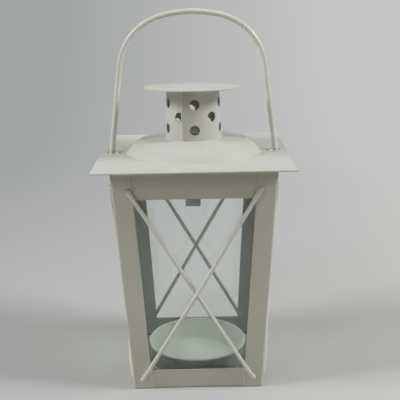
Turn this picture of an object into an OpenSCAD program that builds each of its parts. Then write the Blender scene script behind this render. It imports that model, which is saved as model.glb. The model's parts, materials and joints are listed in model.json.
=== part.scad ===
// Square sheet metal lantern for one tealight, with a roof that lifts along a wire bail.
// The front is -Y. The origin is the middle of the base, on the table.

/* [Body] */
// Width of the body across its base
base_w = 55.2; // [53:0.2:60]
// Width of the body under the roof
eaves_w = 66.5; // [63:0.5:70]
// Height of the body, from the table to the roof
body_h = 98; // [90:1:120]
// Thickness of the sheet of the posts, rails and base
sheet_t = 0.5; // [0.4:0.05:0.7]
// Width of each leg of a corner post
post_w = 8.2; // [7:0.1:10]
// Outer radius of the fold of a corner post
fold_r = 0.9; // [0.7:0.1:1.4]
// Height of the top rails
top_rail_h = 12.3; // [11:0.1:16]
// Height of the bottom rails
bottom_rail_h = 8.8; // [6:0.1:12]

/* [Glass] */
// Thickness of a pane
glass_t = 2; // [1.5:0.1:2.4]
// How far a pane reaches up behind the top rail
glass_lap = 4; // [3:0.1:5]
// Play between a pane and what holds it
glass_clear = 0.1; // [0.05:0.05:0.2]
// Width of a glass clip
clip_w = 6; // [4:0.5:9]
// Thickness of a glass clip
clip_t = 0.5; // [0.4:0.1:0.8]
// How far a clip hangs below the edge of the top rail
clip_drop = 3.5; // [2:0.1:6]
// How far a clip's foot reaches up the rail above the glass
clip_foot_h = 3.6; // [2.5:0.1:4]
// Place of the front and back clips across their face
front_clip_shift = -0.6; // [-3:0.1:3]
// Place of the left and right clips, to one side of the bail's pegs
side_clip_shift = 9; // [7:0.5:14]

/* [Cross wires] */
// Diameter of the crossed wires
wire_d = 1.7; // [1.2:0.1:2]
// Height of the wires' lower ends above the table
wire_foot_z = 4; // [3:0.5:10]
// Distance of the wires' upper ends below the roof
wire_top_drop = 7.8; // [5:0.1:12]
// Distance of the lower ends from the body's corner
wire_foot_inset = 3.7; // [2:0.1:5]
// Distance of the upper ends from the body's corner
wire_top_inset = 6.3; // [3:0.1:6.6]

/* [Candle cup] */
// Gap between the cup's rim and the clearance of the panes, at the floor
cup_gap = 2.3; // [1.5:0.1:4]
// How far the cup's wall leans out from its foot to its rim
cup_flare = 1.9; // [1:0.1:2.5]
// Height from the base plate to the middle of the bead
cup_h = 9.7; // [7:0.1:14]
// Thickness of the cup's wall
cup_t = 0.4; // [0.3:0.1:0.6]
// Diameter of the rolled bead
bead_d = 0.9; // [0.8:0.1:1.4]

/* [Roof] */
// How far the square roof stands out past the body on each side
eaves_overhang = 6.75; // [5.75:0.25:12]
// Thickness of the roof's sheet
roof_t = 0.5; // [0.4:0.05:0.8]
// Play between the roof and the body that it rests on
roof_clear = 0.05; // [0.03:0.01:0.1]
// Diameter of the pressed dome
dome_d = 59.4; // [58:0.1:60]
// Height of the dome at the chimney's foot
dome_h = 6.1; // [4.5:0.1:7]
// Fall of the dome's crown from the chimney to the shoulder
crown_fall = 0.9; // [0.4:0.1:1.2]
// Slope of the dome's wall
dome_wall_angle = 52; // [46:1:56]
// Radius of the blend at the dome's foot
dome_foot_r = 2; // [1:0.5:3]
// Radius of the dome's shoulder
dome_shoulder_r = 7; // [3:0.5:8]
// Diameter of the flue hole
flue_d = 19; // [16:0.5:20]
// Diameter of each bail hole
bail_hole_d = 6.4; // [6:0.1:6.8]
// How far a bail hole sits inward of the leg, which leans in as the roof rises
bail_hole_shift = 1.1; // [0.9:0.05:1.3]

/* [Chimney] */
// Outer diameter of the rolled tube at its top
chimney_d = 22.6; // [21:0.1:23]
// How far the tube's wall leans out from its top to its foot
chimney_flare = 0.75; // [0:0.05:1]
// Thickness of the tube's sheet
chimney_t = 0.4; // [0.3:0.05:0.6]
// Height of the tube from the dome to the cap
chimney_h = 21.9; // [19:0.1:26]
// Turn of the seam from the front, to the right
seam_turn = -21; // [-25:1:-19]
// Width of the sheet's lap under the seam
lap_w = 2.4; // [1.5:0.1:3]
// Diameter of the punched holes
vent_d = 4.2; // [3:0.1:4.4]
// Number of holes in a row
vents_per_row = 5; // [4:1:5]
// Height of the lowest row above the dome
vent_row_h = 4.7; // [3:0.1:5.5]
// Distance from one row to the next
vent_row_pitch = 5.3; // [4.6:0.1:6]
// Turn of the first and third rows from the front
vent_turn = 3; // [0:1:8]
// Turn of the middle row against the others
vent_stagger = -33; // [-36:1:-30]

/* [Cap] */
// Diameter of the cap
cap_d = 42; // [36:0.5:50]
// Rise of the cap from rim to middle
cap_rise = 1; // [0.5:0.1:3]
// Thickness of the cap's sheet
cap_t = 0.5; // [0.4:0.1:0.8]
// Lean of the cap, with its front edge raised
cap_lean = 1.9; // [0:0.1:3]

/* [Bail] */
// Diameter of the bail's wire
bail_d = 2.3; // [2:0.1:2.5]
// Height of the wire's middle above the body, at the top of the arch
bail_rise = 59; // [57:0.5:80]
// Gap between each leg and the body, at the roof
bail_leg_gap = 0.9; // [0.6:0.05:1.5]
// Inward lean of the legs
bail_lean = 7.5; // [6:0.1:8]
// Radius of the arch's crown
bail_crown_r = 50; // [45:1:60]
// Half angle of the crown
bail_crown_angle = 15; // [10:1:18]
// Inside bend between leg and peg, to the wire's middle
bail_bend_r = 2; // [1.5:0.1:2.4]
// Distance of the pegs below the top of the body
peg_drop = 4; // [3.6:0.1:4.2]
// How far each peg reaches past its rail
peg_reach = 2.5; // [1.5:0.1:4]
// Radial play of a peg in its hole
peg_clear = 0.08; // [0.05:0.01:0.1]

/* [Hidden] */

cream = [0.80, 0.79, 0.73];
cream_light = [0.86, 0.85, 0.79];
tin = [0.55, 0.56, 0.54];
glass_tint = [0.72, 0.86, 0.80, 0.35];

// How far a cutting shape runs past what it cuts
overrun = 1;
round_steps = 96;
wire_steps = 32;
blend_steps = 6;

// Share by which the round of a fold stands out past the flats, so that it crosses them
fold_proud_share = 0.01;
// Share of a wire's diameter by which the bow of the over wire clears the under wire
bow_play_share = 0.06;
// Share by which the ball at the knee of the bow is wider than the wire
knee_share = 0.04;
// Level ring on the dome that the chimney stands on
seat_land = 1.2;
// Share of the sheet's thickness by which the lap of the tube is pressed into the seam
lap_bite_share = 0.1;
// Play between the two halves of the rolled tube
lap_play = 0.02;
// Wire draws thinner where it is bent, and each bend runs a little way into its neighbour
bend_thinning = 0.02;
bend_overlap = 0.1;

// The faces of the body lean outward by this angle
face_lean = atan((eaves_w - base_w) / 2 / body_h);

// Each face of the body is named by its turn from the front, to the right
front_turn = 0;
right_turn = 90;
back_turn = 180;
left_turn = 270;
function on_side(face_turn) = face_turn % 180 != 0;

// Layers of the wall, measured inward from the face of the posts
rail_depth = sheet_t;
glass_depth = rail_depth + sheet_t + glass_clear;
clip_depth = glass_depth + glass_t + glass_clear;

top_rail_z = body_h - top_rail_h;
glass_top_z = top_rail_z + glass_lap;
peg_z = body_h - peg_drop;

// Half the width of the body at a height
function half_w(z) = (base_w + (eaves_w - base_w) * z / body_h) / 2;
// A depth into the wall, measured level
function level(depth) = depth / cos(face_lean);

roof_z = body_h + roof_clear;
roof_top_z = roof_z + roof_t;
seat_z = roof_top_z + dome_h;
chimney_r = chimney_d / 2;
// Outer radius of the tube at a height above its foot
function tube_r(z) = chimney_r + chimney_flare * (1 - z / chimney_h);
cap_seat_z = seat_z + chimney_h;

// The bail's legs, as the line of the wire's middle on the right
leg_x = eaves_w / 2 + bail_leg_gap + bail_d / 2;
function leg_line_x(z) = leg_x + (body_h - z) * tan(bail_lean);

// Wall of the body on the front and back, between two depths, as a bar along X
module wall_along_x(depth_a, depth_b, z0, z1, side) {
    rotate([90, 0, 90])
        linear_extrude(height = 2 * eaves_w, center = true)
            polygon([
                [side * (half_w(z0) - level(depth_a)), z0],
                [side * (half_w(z1) - level(depth_a)), z1],
                [side * (half_w(z1) - level(depth_b)), z1],
                [side * (half_w(z0) - level(depth_b)), z0]
            ]);
}

// The same wall on the right and left, as a bar along Y
module wall_along_y(depth_a, depth_b, z0, z1, side) {
    rotate([0, 0, -90])
        wall_along_x(depth_a, depth_b, z0, z1, side);
}

// All that lies inside a depth of the right and left walls, as a bar along Y
module within_sides(depth, z0, z1) {
    rotate([90, 0, 0])
        linear_extrude(height = 2 * eaves_w, center = true)
            polygon([
                [-half_w(z0) + level(depth), z0],
                [half_w(z0) - level(depth), z0],
                [half_w(z1) - level(depth), z1],
                [-half_w(z1) + level(depth), z1]
            ]);
}

// A strip of the front wall that ends at a depth from the side walls
module front_strip(depth, thickness, side_depth, z0, z1) {
    intersection() {
        wall_along_x(depth, depth + thickness, z0, z1, -1);
        within_sides(side_depth, z0, z1);
    }
}

module on_face(face_turn) {
    rotate([0, 0, face_turn])
        children();
}

// Folded L post, drawn at the front left corner
module corner_post(face_turn) {
    post_depth = post_w * cos(face_lean);
    color(cream)
        on_face(face_turn)
            difference() {
                union() {
                    intersection() {
                        wall_along_x(0, sheet_t, 0, body_h, -1);
                        wall_along_y(0, post_depth, 0, body_h, -1);
                    }
                    intersection() {
                        wall_along_y(0, sheet_t, 0, body_h, -1);
                        wall_along_x(0, post_depth, 0, body_h, -1);
                    }
                }
                outside_fold();
            }
}

// What lies outside the round of the front left fold, up the whole post
module outside_fold() {
    low_z = -overrun;
    high_z = body_h + overrun;
    difference() {
        intersection() {
            wall_along_x(-overrun, fold_r, low_z, high_z, -1);
            wall_along_y(-overrun, fold_r, low_z, high_z, -1);
        }
        rod(fold_middle(low_z - overrun), fold_middle(high_z + overrun), 2 * fold_r * (1 + fold_proud_share));
    }
}
function fold_middle(z) = [level(fold_r) - half_w(z), level(fold_r) - half_w(z), z];

// Front and back rails run to the side posts, and the side rails butt against them
function rail_side_depth(face_turn) = on_side(face_turn) ? rail_depth + sheet_t : rail_depth;

module top_rail(face_turn) {
    color(cream)
        difference() {
            on_face(face_turn)
                front_strip(rail_depth, sheet_t, rail_side_depth(face_turn), top_rail_z, body_h);
            if (on_side(face_turn))
                translate([0, 0, peg_z])
                    rotate([0, 90, 0])
                        cylinder(
                            h = 2 * eaves_w, d = bail_d + 2 * peg_clear, center = true, $fn = wire_steps
                        );
        }
}

module bottom_rail(face_turn) {
    color(cream)
        on_face(face_turn)
            front_strip(rail_depth, sheet_t, rail_side_depth(face_turn), 0, bottom_rail_h);
}

module base_plate() {
    inner_depth = rail_depth + sheet_t;
    color(cream)
        intersection() {
            within_sides(inner_depth, 0, sheet_t);
            rotate([0, 0, 90])
                within_sides(inner_depth, 0, sheet_t);
        }
}

// Tapered cup with a flat floor and a rolled bead
module candle_cup() {
    rim_r = half_w(0) - level(clip_depth) - cup_gap;
    foot_r = rim_r - cup_flare;
    wall_r = rim_r - bead_d / 2;
    color(cream_light)
        translate([0, 0, sheet_t])
            rotate_extrude($fn = round_steps)
                union() {
                    polygon([
                        [0, 0],
                        [foot_r, 0],
                        [wall_r, cup_h],
                        [wall_r - cup_t, cup_h],
                        [foot_r - cup_t, cup_t],
                        [0, cup_t]
                    ]);
                    translate([wall_r, cup_h])
                        circle(d = bead_d, $fn = wire_steps);
                }
}

// Front and back panes run to the side rails, and the side panes stand between them
module glass_pane(face_turn) {
    side_depth = on_side(face_turn) ? clip_depth : glass_depth;
    color(glass_tint)
        on_face(face_turn)
            front_strip(glass_depth, glass_t, side_depth, sheet_t, glass_top_z);
}

// Tab folded over the top of a pane, in the plane of depth and height, then leaned with the wall
module glass_clip(face_turn) {
    foot_depth = rail_depth + sheet_t;
    fold_z = glass_top_z + glass_clear;
    shift = on_side(face_turn) ? side_clip_shift : front_clip_shift;
    color(tin)
        on_face(face_turn)
            translate([shift, 0, 0])
                rotate([90, 0, -90])
                    linear_extrude(height = clip_w, center = true)
                        polygon([
                            wall_point(foot_depth, fold_z + clip_foot_h),
                            wall_point(foot_depth, fold_z),
                            wall_point(clip_depth, fold_z),
                            wall_point(clip_depth, top_rail_z - clip_drop),
                            wall_point(clip_depth + clip_t, top_rail_z - clip_drop),
                            wall_point(clip_depth + clip_t, fold_z + clip_t),
                            wall_point(foot_depth + clip_t, fold_z + clip_t),
                            wall_point(foot_depth + clip_t, fold_z + clip_foot_h)
                        ]);
}
function wall_point(depth, z) = [half_w(z) - level(depth), z];

// Straight round rod from one point to another
module rod(from, to, d) {
    run = to - from;
    translate(from)
        rotate([0, acos(run[2] / norm(run)), atan2(run[1], run[0])])
            cylinder(h = norm(run), d = d, $fn = wire_steps);
}

// A place on a face in its own plane: across, outward and up the slope, then set on the front
function wire_end(side, z, inset) = [side * (half_w(z) - inset), -wire_d / 2, z / cos(face_lean)];

module front_plane() {
    translate([0, -base_w / 2, 0])
        rotate([face_lean, 0, 0])
            children();
}

// The under wire is straight, from the upper left to the lower right
module cross_wire_under(face_turn) {
    top_z = body_h - wire_top_drop;
    color(cream_light)
        on_face(face_turn)
            front_plane()
                rod(wire_end(-1, top_z, wire_top_inset), wire_end(1, wire_foot_z, wire_foot_inset), wire_d);
}

// The over wire is bowed outward by one wire where it passes the other
module cross_wire_over(face_turn) {
    top_z = body_h - wire_top_drop;
    top_end = wire_end(1, top_z, wire_top_inset);
    foot_end = wire_end(-1, wire_foot_z, wire_foot_inset);
    crossing_share = top_end[0] / (top_end[0] - foot_end[0]);
    crossing = top_end + (foot_end - top_end) * crossing_share + [0, -wire_d * (1 + bow_play_share), 0];
    color(cream_light)
        on_face(face_turn)
            front_plane()
                union() {
                    rod(top_end, crossing, wire_d);
                    rod(foot_end, crossing, wire_d);
                    translate(crossing)
                        sphere(d = wire_d * (1 + knee_share), $fn = wire_steps);
                }
}

// The dome in radius and height, from the chimney's seat to the flat, at a depth into its sheet
function dome_outline(depth) =
    let (
        seat_r = tube_r(0) + seat_land,
        shoulder_h = dome_h - crown_fall,
        foot_r = dome_d / 2 - dome_foot_r * tan(dome_wall_angle / 2),
        shoulder_r = foot_r - shoulder_h / tan(dome_wall_angle),
        seat = [seat_r, dome_h],
        shoulder = [shoulder_r, shoulder_h],
        foot = [foot_r, 0],
        rim = [dome_d / 2, 0]
    )
    concat(
        [seat - [0, depth]],
        blend(seat, shoulder, foot, dome_shoulder_r, -depth),
        blend(shoulder, foot, rim, dome_foot_r, depth)
    );

// Points of a round of radius r in place of the corner b, each then moved away from its centre
function blend(a, b, c, r, move) =
    let (
        to_a = (a - b) / norm(a - b),
        to_c = (c - b) / norm(c - b),
        half_angle = acos(to_a * to_c) / 2,
        start = b + to_a * r / tan(half_angle),
        end = b + to_c * r / tan(half_angle),
        centre = b + (to_a + to_c) / norm(to_a + to_c) * r / sin(half_angle),
        turn = 180 - 2 * half_angle
    )
    [for (i = [0:blend_steps])
        let (k = i / blend_steps)
        centre + ((start - centre) * sin(turn * (1 - k)) + (end - centre) * sin(turn * k))
            / sin(turn) * (r + move) / r];

function reversed(list) = [for (i = [len(list) - 1:-1:0]) list[i]];

module roof_plate() {
    roof_w = eaves_w + 2 * eaves_overhang;
    flue_r = flue_d / 2;
    color(cream_light)
        difference() {
            union() {
                translate([0, 0, roof_z])
                    linear_extrude(height = roof_t)
                        difference() {
                            square(roof_w, center = true);
                            circle(d = dome_d, $fn = round_steps);
                        }
                translate([0, 0, roof_top_z])
                    rotate_extrude($fn = round_steps)
                        polygon(concat(
                            [[flue_r, dome_h]],
                            dome_outline(0),
                            reversed(dome_outline(roof_t)),
                            [[flue_r, dome_h - roof_t]]
                        ));
            }
            for (side = [-1, 1])
                translate([side * (leg_line_x(roof_z) - bail_hole_shift), 0, roof_z - overrun])
                    cylinder(h = roof_t + 2 * overrun, d = bail_hole_d, $fn = 2 * wire_steps);
        }
}

// The tube is one sheet rolled on two centres, so that its inner end slips under its outer edge
module rolled_sheet(inset, start, sweep) {
    top_z = chimney_h + chimney_r;
    intersection() {
        rotate_extrude($fn = round_steps)
            polygon([
                [tube_r(0) - inset - chimney_t, 0],
                [tube_r(0) - inset, 0],
                [tube_r(top_z) - inset, top_z],
                [tube_r(top_z) - inset - chimney_t, top_z]
            ]);
        translate([0, 0, -overrun])
            linear_extrude(height = top_z + 2 * overrun)
                sector(start, sweep, 2 * chimney_d);
    }
}
module sector(start, sweep, reach) {
    steps = 6;
    polygon(concat(
        [[0, 0]],
        [for (i = [0:steps]) reach * [cos(start + sweep * i / steps), sin(start + sweep * i / steps)]]
    ));
}

// Punches for the vents. Those close before the seam are left out of the outer layer
module vents(skip_near_seam) {
    pitch = 360 / vents_per_row;
    // The punches stop short of each other inside the tube
    punch_start = chimney_r - 2 * chimney_t - overrun;
    punch_end = tube_r(0) + overrun;
    for (row = [0:2], i = [0:vents_per_row - 1]) {
        turn = vent_turn + (row == 1 ? vent_stagger : 0) + i * pitch;
        before_seam = (seam_turn - turn + 360) % 360;
        if (!(skip_near_seam && before_seam < pitch / 2))
            rotate([0, 0, turn - 90])
                translate([0, 0, vent_row_h + row * vent_row_pitch])
                    rotate([0, 90, 0])
                        translate([0, 0, punch_start])
                            cylinder(h = punch_end - punch_start, d = vent_d, $fn = wire_steps);
    }
}

module chimney_tube() {
    seam = seam_turn - 90;
    half_turn = 180;
    step = chimney_t * (1 - lap_bite_share) / 2;
    lap_angle = lap_w / tube_r(0) * half_turn / PI;
    color(cream)
        translate([0, 0, seat_z])
            difference() {
                union() {
                    difference() {
                        rolled_sheet(0, seam, half_turn);
                        vents(true);
                    }
                    difference() {
                        translate(step * [cos(seam + half_turn), sin(seam + half_turn), 0])
                            rolled_sheet(step + lap_play, seam + half_turn, half_turn + lap_angle);
                        vents(false);
                    }
                }
                translate([0, 0, chimney_h])
                    rotate([-cap_lean, 0, 0])
                        translate([-chimney_d, -chimney_d, 0])
                            cube([2 * chimney_d, 2 * chimney_d, chimney_d]);
            }
}

function lowered(list, drop) = [for (p = list) p - [0, drop]];

// Height of the cap's underside above its rim at a radius
function cap_arch_h(r) =
    let (
        rim_r = cap_d / 2,
        ball_r = (rim_r * rim_r + cap_rise * cap_rise) / (2 * cap_rise)
    )
    sqrt(ball_r * ball_r - r * r) - (ball_r - cap_rise);

module chimney_cap() {
    rings = 10;
    rim_r = cap_d / 2;
    // The tube meets the underside at this radius, which is one of the rings
    seat_r = chimney_r / cos(cap_lean);
    radii = concat(
        [for (i = [0:rings / 2]) seat_r * i / (rings / 2)],
        [for (i = [1:rings / 2]) seat_r + (rim_r - seat_r) * i / (rings / 2)]
    );
    under = [for (r = radii) [r, cap_arch_h(r)]];
    color(cream_light)
        translate([0, 0, cap_seat_z])
            rotate([-cap_lean, 0, 0])
                translate([0, 0, -cap_arch_h(seat_r)])
                    rotate_extrude($fn = round_steps)
                        polygon(concat(under, reversed(lowered(under, -cap_t))));
}

// A bent stretch of wire in the plane of the bail, between two angles about its centre
module wire_arc(centre, r, from, to, d) {
    more = bend_overlap / r * 180 / PI;
    translate(centre)
        rotate([90, 0, 0])
            rotate([0, 0, from - more])
                rotate_extrude(angle = to - from + 2 * more, $fn = round_steps)
                    translate([r, 0])
                        circle(d = d, $fn = wire_steps);
}

module bail_handle() {
    bend_d = bail_d - bend_thinning;
    crown_d = bend_d - bend_thinning;
    crown = [0, 0, body_h + bail_rise - bail_crown_r];
    crown_out = [sin(bail_crown_angle), 0, cos(bail_crown_angle)];
    leg_out = [cos(bail_lean), 0, sin(bail_lean)];
    // The shoulder's radius follows from the crown and the line of the leg, which it must meet
    reach = bail_crown_angle + bail_lean;
    leg_offset = leg_x * cos(bail_lean) + body_h * sin(bail_lean);
    shoulder_r = (leg_offset - crown[2] * sin(bail_lean) - bail_crown_r * sin(reach)) / (1 - sin(reach));
    shoulder = crown + (bail_crown_r - shoulder_r) * crown_out;
    bend_z = peg_z + bail_bend_r;
    bend = [leg_line_x(bend_z + bail_bend_r * leg_out[2]) - bail_bend_r * leg_out[0], 0, bend_z];
    peg_end = half_w(peg_z) - level(rail_depth + sheet_t) - peg_reach;
    color(cream_light)
        union() {
            wire_arc(crown, bail_crown_r, 90 - bail_crown_angle, 90 + bail_crown_angle, crown_d);
            for (side = [0, 1])
                mirror([side, 0, 0]) {
                    wire_arc(shoulder, shoulder_r, bail_lean, 90 - bail_crown_angle, bend_d);
                    rod(shoulder + shoulder_r * leg_out, bend + bail_bend_r * leg_out, bail_d);
                    wire_arc(bend, bail_bend_r, -90, bail_lean, bend_d);
                    rod([bend[0], 0, peg_z], [peg_end, 0, peg_z], bail_d);
                }
        }
}

corner_post(front_turn);  // corner_post_front_left
corner_post(right_turn);  // corner_post_front_right
corner_post(back_turn);  // corner_post_back_right
corner_post(left_turn);  // corner_post_back_left
top_rail(front_turn);  // top_rail_front
top_rail(right_turn);  // top_rail_right
top_rail(back_turn);  // top_rail_back
top_rail(left_turn);  // top_rail_left
bottom_rail(front_turn);  // bottom_rail_front
bottom_rail(right_turn);  // bottom_rail_right
bottom_rail(back_turn);  // bottom_rail_back
bottom_rail(left_turn);  // bottom_rail_left
base_plate();
candle_cup();
glass_pane(front_turn);  // glass_pane_front
glass_pane(right_turn);  // glass_pane_right
glass_pane(back_turn);  // glass_pane_back
glass_pane(left_turn);  // glass_pane_left
glass_clip(front_turn);  // glass_clip_front
glass_clip(right_turn);  // glass_clip_right
glass_clip(back_turn);  // glass_clip_back
glass_clip(left_turn);  // glass_clip_left
cross_wire_under(front_turn);  // cross_wire_front_under
cross_wire_over(front_turn);  // cross_wire_front_over
cross_wire_under(right_turn);  // cross_wire_right_under
cross_wire_over(right_turn);  // cross_wire_right_over
cross_wire_under(back_turn);  // cross_wire_back_under
cross_wire_over(back_turn);  // cross_wire_back_over
cross_wire_under(left_turn);  // cross_wire_left_under
cross_wire_over(left_turn);  // cross_wire_left_over
roof_plate();
chimney_tube();
chimney_cap();
bail_handle();
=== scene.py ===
"""Paints, glazes, welds and lights a square sheet metal tealight lantern."""

import json
import math
from typing import NamedTuple

import bpy
from mathutils import Matrix, Vector

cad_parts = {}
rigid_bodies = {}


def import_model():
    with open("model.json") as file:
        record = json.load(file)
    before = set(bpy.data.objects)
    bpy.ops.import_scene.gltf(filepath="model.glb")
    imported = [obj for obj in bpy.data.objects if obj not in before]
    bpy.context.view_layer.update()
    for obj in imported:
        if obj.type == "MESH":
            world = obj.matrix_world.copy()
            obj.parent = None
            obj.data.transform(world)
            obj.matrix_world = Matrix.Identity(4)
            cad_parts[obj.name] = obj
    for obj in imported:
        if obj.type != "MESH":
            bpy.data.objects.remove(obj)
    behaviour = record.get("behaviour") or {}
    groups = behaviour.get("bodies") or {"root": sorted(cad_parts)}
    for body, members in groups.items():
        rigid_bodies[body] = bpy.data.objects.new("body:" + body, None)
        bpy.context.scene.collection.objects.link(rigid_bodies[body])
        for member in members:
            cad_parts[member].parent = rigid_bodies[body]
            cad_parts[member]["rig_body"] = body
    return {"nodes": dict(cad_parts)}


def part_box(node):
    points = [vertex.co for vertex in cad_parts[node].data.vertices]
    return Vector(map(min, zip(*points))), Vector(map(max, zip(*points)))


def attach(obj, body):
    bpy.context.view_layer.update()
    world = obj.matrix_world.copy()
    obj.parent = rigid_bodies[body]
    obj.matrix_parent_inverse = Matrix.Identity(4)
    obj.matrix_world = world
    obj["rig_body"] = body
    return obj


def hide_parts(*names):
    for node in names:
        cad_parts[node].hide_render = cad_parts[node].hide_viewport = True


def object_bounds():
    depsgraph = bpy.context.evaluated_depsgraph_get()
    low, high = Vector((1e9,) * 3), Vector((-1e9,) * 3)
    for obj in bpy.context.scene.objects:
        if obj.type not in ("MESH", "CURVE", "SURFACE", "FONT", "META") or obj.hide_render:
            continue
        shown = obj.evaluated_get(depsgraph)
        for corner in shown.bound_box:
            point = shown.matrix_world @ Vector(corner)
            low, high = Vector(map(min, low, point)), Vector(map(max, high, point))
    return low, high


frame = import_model()
CAD_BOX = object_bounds()

bl_info = {
    "name": "Tealight Lantern Finish",
    "version": (1, 0, 0),
    "blender": (4, 5, 0),
    "location": "3D View > Sidebar > Lantern",
    "description": "Paints, glazes, welds and lights a square sheet metal tealight lantern",
    "category": "Object",
}

FACES = ("front", "right", "back", "left")
CORNERS = ("front_left", "front_right", "back_right", "back_left")
FACE_TURN = {"front": 0, "right": 90, "back": 180, "left": 270}

# A CAD node's corners are merged within this distance, and its flat faces within this angle
MERGE_DISTANCE = 1e-6
FLAT_ANGLE = math.radians(0.3)

# Cosine of the lean up to which a face still counts as looking outwards or inwards
SIDE_FACE = 0.5
PANE_FACE = 0.9

# Cosines of the lean at which an edge's wear starts and at which it is full
WEAR_START = 0.98
WEAR_FULL = 0.85

# Strength of the painted contact shadow right at the floor, and its share between and within its
# patches
FOOT_SHADE_AT_FLOOR = 1.8
FOOT_SHADE_BETWEEN = 0.3
FOOT_SHADE_WITHIN = 0.55

# How bare the rubbed end of a wire is between its patches
RUBBED_BETWEEN = 0.15

# How far the paint's roughness falls and rises from patch to patch
GLOSSIER = 0.05
DULLER = 0.08

# Sides of the solder ring, sides of its bead, sides of the seam's bead and cuts along it
RING_SIDES = 128
RING_BEAD_SIDES = 12
SEAM_BEAD_SIDES = 16
SEAM_CUTS = 60


class Pattern(NamedTuple):
    """A noise's scale per metre, its detail and the grey values between which patches fade in"""
    scale: float
    detail: float
    low: float = 0
    high: float = 1


PATTERNS = {
    "aged": Pattern(45, 3, low=0.35, high=0.70),
    "gloss": Pattern(45, 3, low=0.3, high=0.7),
    "specks": Pattern(420, 2, low=0.3, high=0.7),
    # Patches of the painted contact shadow at the foot
    "grime": Pattern(260, 3, low=0.3, high=0.6),
    "chips": Pattern(300, 3, low=0.58, high=0.66),
    "rubbed": Pattern(700, 3, low=0.38, high=0.56),
    "ripples": Pattern(38, 1),
    "orange_peel": Pattern(1600, 2),
    "smears": Pattern(60, 4, low=0.45, high=0.75),
    "steel_stains": Pattern(260, 4, low=0.3, high=0.7),
    "steel_gloss": Pattern(900, 2, low=0.3, high=0.7),
    "steel_grain": Pattern(1400, 2),
}


class LanternPaint(bpy.types.PropertyGroup):
    """Cream paint on the sheet metal and the wires, its wear, and the light and shade painted into
    it
    """
    # The body's cream is warmer and darker than the lid's light cream; the difference is partly
    # painted shade, for the warm shade on the body's sides
    cream: bpy.props.FloatVectorProperty(
        name="Cream", description="Colour of the paint on the body",
        subtype="COLOR", size=3, default=(0.61, 0.597, 0.53))
    # The inner cream is painted light: it is lighter than the outside cream, so that the inward
    # faces of the posts, rails and base look lit
    inner_cream: bpy.props.FloatVectorProperty(
        name="Inner cream", description="Colour of the clean paint inside the body",
        subtype="COLOR", size=3, default=(0.84, 0.85, 0.76))
    light_cream: bpy.props.FloatVectorProperty(
        name="Light cream", description="Colour of the paint on the roof, chimney, cap and cup",
        subtype="COLOR", size=3, default=(0.625, 0.63, 0.60))
    wire_cream: bpy.props.FloatVectorProperty(
        name="Wire cream", description="Colour of the paint on the bail, wires and solder",
        subtype="COLOR", size=3, default=(0.75, 0.745, 0.69))
    aged_cream: bpy.props.FloatVectorProperty(
        name="Aged cream", description="Colour that the paint turns to in patches",
        subtype="COLOR", size=3, default=(0.50, 0.475, 0.39))
    bare_metal: bpy.props.FloatVectorProperty(
        name="Bare metal", description="Colour of the steel where the paint has gone",
        subtype="COLOR", size=3, default=(0.36, 0.37, 0.37))
    bead_height: bpy.props.FloatProperty(
        name="Bead height", description="Height of the painted bead round the cup's rim",
        unit="LENGTH", default=0.0013, precision=5)
    # The grime is a painted contact shadow: a dark band at the lantern's foot, broken in patches,
    # where it meets the floor
    grime: bpy.props.FloatVectorProperty(
        name="Grime", description="Colour of the dirt along the lantern's foot",
        subtype="COLOR", size=3, default=(0.10, 0.08, 0.06))
    foot_shade_height: bpy.props.FloatProperty(
        name="Grime height", description="Height of the dirt above the floor",
        unit="LENGTH", default=0.0007, precision=5)
    # The stain is painted shade: a darker band on the chimney's front that starts at its seam and
    # fades to the right
    stain: bpy.props.FloatVectorProperty(
        name="Stain", description="Colour of the paint beside the chimney's soldered seam",
        subtype="COLOR", size=3, default=(0.36, 0.35, 0.28))
    seam_shade_share: bpy.props.FloatProperty(
        name="Stained share",
        description="How far the paint beside the seam turns to the stain's colour",
        min=0, max=1, default=0.6)
    seam_shade_width: bpy.props.FloatProperty(
        name="Stain width", description="Width of the stain beside the seam",
        unit="LENGTH", default=0.006, precision=5)
    aged_share: bpy.props.FloatProperty(
        name="Aged share", description="How far the patches turn to the aged colour",
        min=0, max=1, default=0.30)
    speck_share: bpy.props.FloatProperty(
        name="Speck share", description="How far the small specks turn to the aged colour",
        min=0, max=1, default=0.12)
    chipped_share: bpy.props.FloatProperty(
        name="Chipped share", description="How much of the cut edges has lost its paint",
        min=0, max=1, default=0.2)
    bare_metallic: bpy.props.FloatProperty(
        name="Bare metallic", description="How metallic the steel is where the paint has gone",
        min=0, max=1, default=0.7)
    roughness: bpy.props.FloatProperty(
        name="Roughness", description="Roughness of the satin paint", min=0, max=1, default=0.52)
    wire_roughness: bpy.props.FloatProperty(
        name="Wire roughness",
        description="Roughness of the glossier paint on the wires, the bail and the solder",
        min=0, max=1, default=0.32)
    edge_width: bpy.props.FloatProperty(
        name="Edge width", description="How far the wear reaches in from an edge",
        unit="LENGTH", default=0.00035, precision=6)
    edge_round: bpy.props.FloatProperty(
        name="Edge round", description="Radius by which the paint softens a sharp edge",
        unit="LENGTH", default=0.00015, precision=6)
    peel_depth: bpy.props.FloatProperty(
        name="Orange peel depth", description="Height of the sprayed paint's fine grain",
        unit="LENGTH", default=0.00001, precision=6)
    ripple_depth: bpy.props.FloatProperty(
        name="Ripple depth", description="Height of the thin sheet's slow ripples",
        unit="LENGTH", default=0.00018, precision=6)
    worn_length: bpy.props.FloatProperty(
        name="Worn length", description="How far the paint is rubbed thin from a wire's upper end",
        unit="LENGTH", default=0.003, precision=5)


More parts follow.
